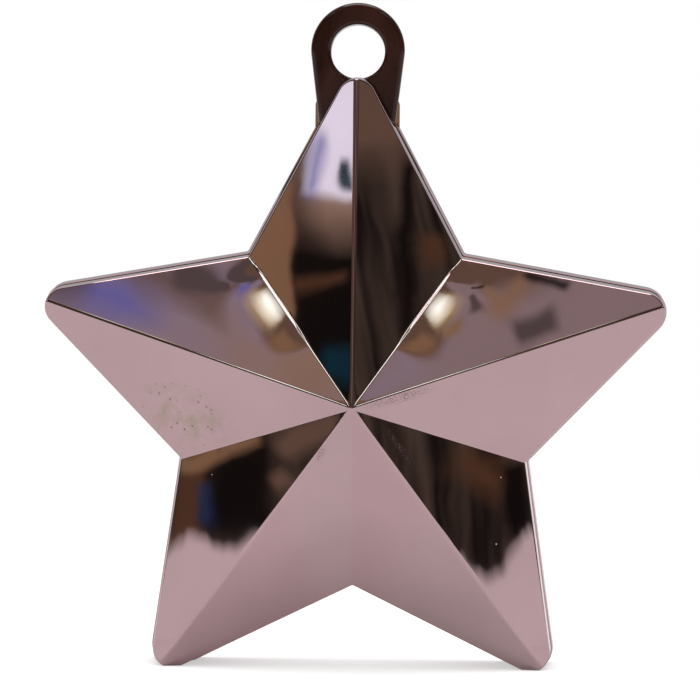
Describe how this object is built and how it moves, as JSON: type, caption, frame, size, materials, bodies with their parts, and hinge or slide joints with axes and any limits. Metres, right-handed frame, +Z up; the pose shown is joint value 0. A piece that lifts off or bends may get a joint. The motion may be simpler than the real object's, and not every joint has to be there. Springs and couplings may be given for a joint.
{
  "type": "balloon weight",
  "caption": "Star-shaped faceted balloon weight of plated plastic, filled with sand, with a rigid ring on top for tying ribbons.",
  "frame": {"origin": "on the surface it stands on, midway between its two standing points and midway through its depth", "axes": "+Z up towards the ring, -Y towards the faceted front, +X to the right seen from the front"},
  "size_m": [0.1182, 0.0296, 0.1249],
  "materials": {
    "rose_plating": "polished",
    "loop_plastic": "gloss",
    "plug_plastic": "satin",
    "sand": "matte",
    "glue": "gloss"
  },
  "bodies": {
    "root": {"front_shell": "rose_plating", "back_cover": "rose_plating", "hanging_loop": "loop_plastic", "fill_plug": "plug_plastic", "sand_fill": "sand", "seam_glue": "glue"}
  },
  "joints": []
}
